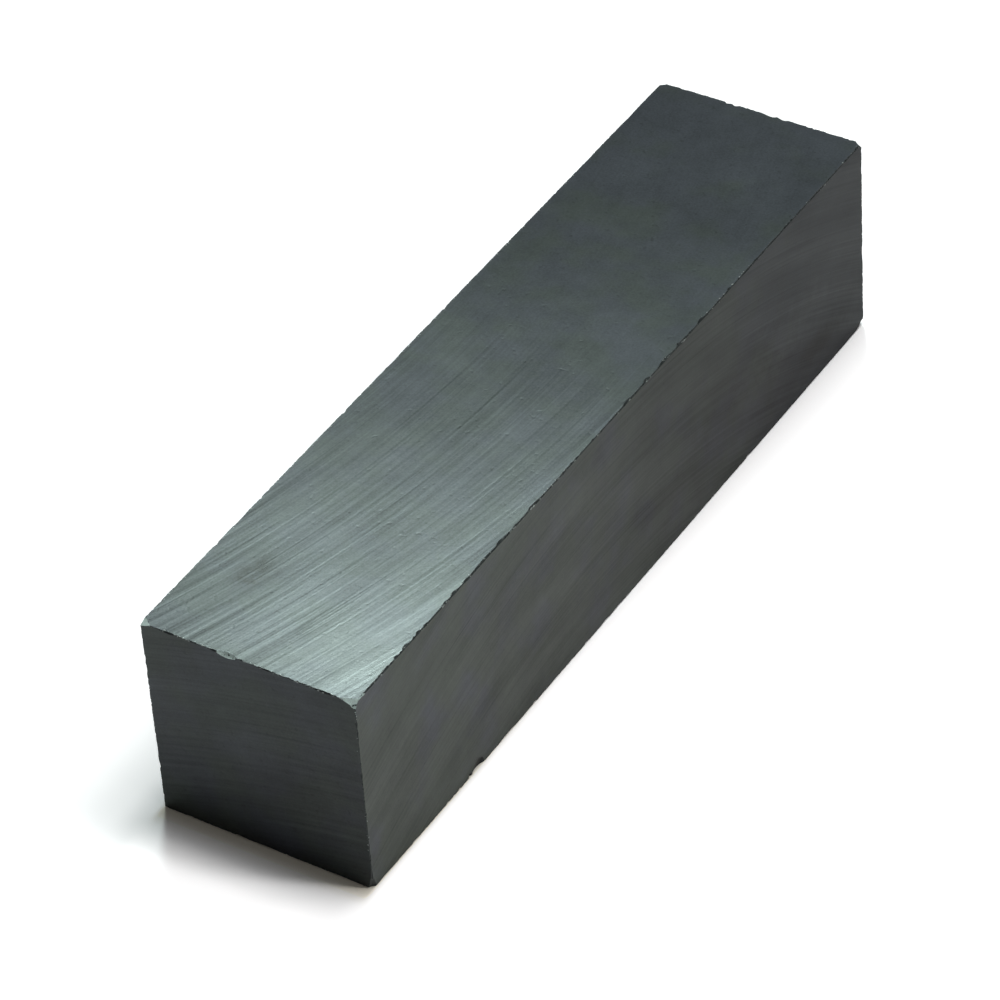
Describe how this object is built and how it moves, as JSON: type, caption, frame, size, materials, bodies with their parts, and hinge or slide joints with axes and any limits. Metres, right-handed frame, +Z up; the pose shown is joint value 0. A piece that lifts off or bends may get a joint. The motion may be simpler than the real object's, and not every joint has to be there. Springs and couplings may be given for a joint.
{
  "type": "block magnet",
  "caption": "Rectangular ferrite bar magnet of square section, ground flat, with chipped edges and corners.",
  "frame": {"origin": "middle of the bottom face, on the surface that the bar rests on", "axes": "+Y along the bar's length towards its back end, +X across its width towards its right side, +Z up out of the top pole face"},
  "size_m": [0.0252, 0.1024, 0.025],
  "materials": {
    "ferrite": "ground matte"
  },
  "bodies": {
    "root": {"magnet_block": "ferrite"}
  },
  "joints": []
}
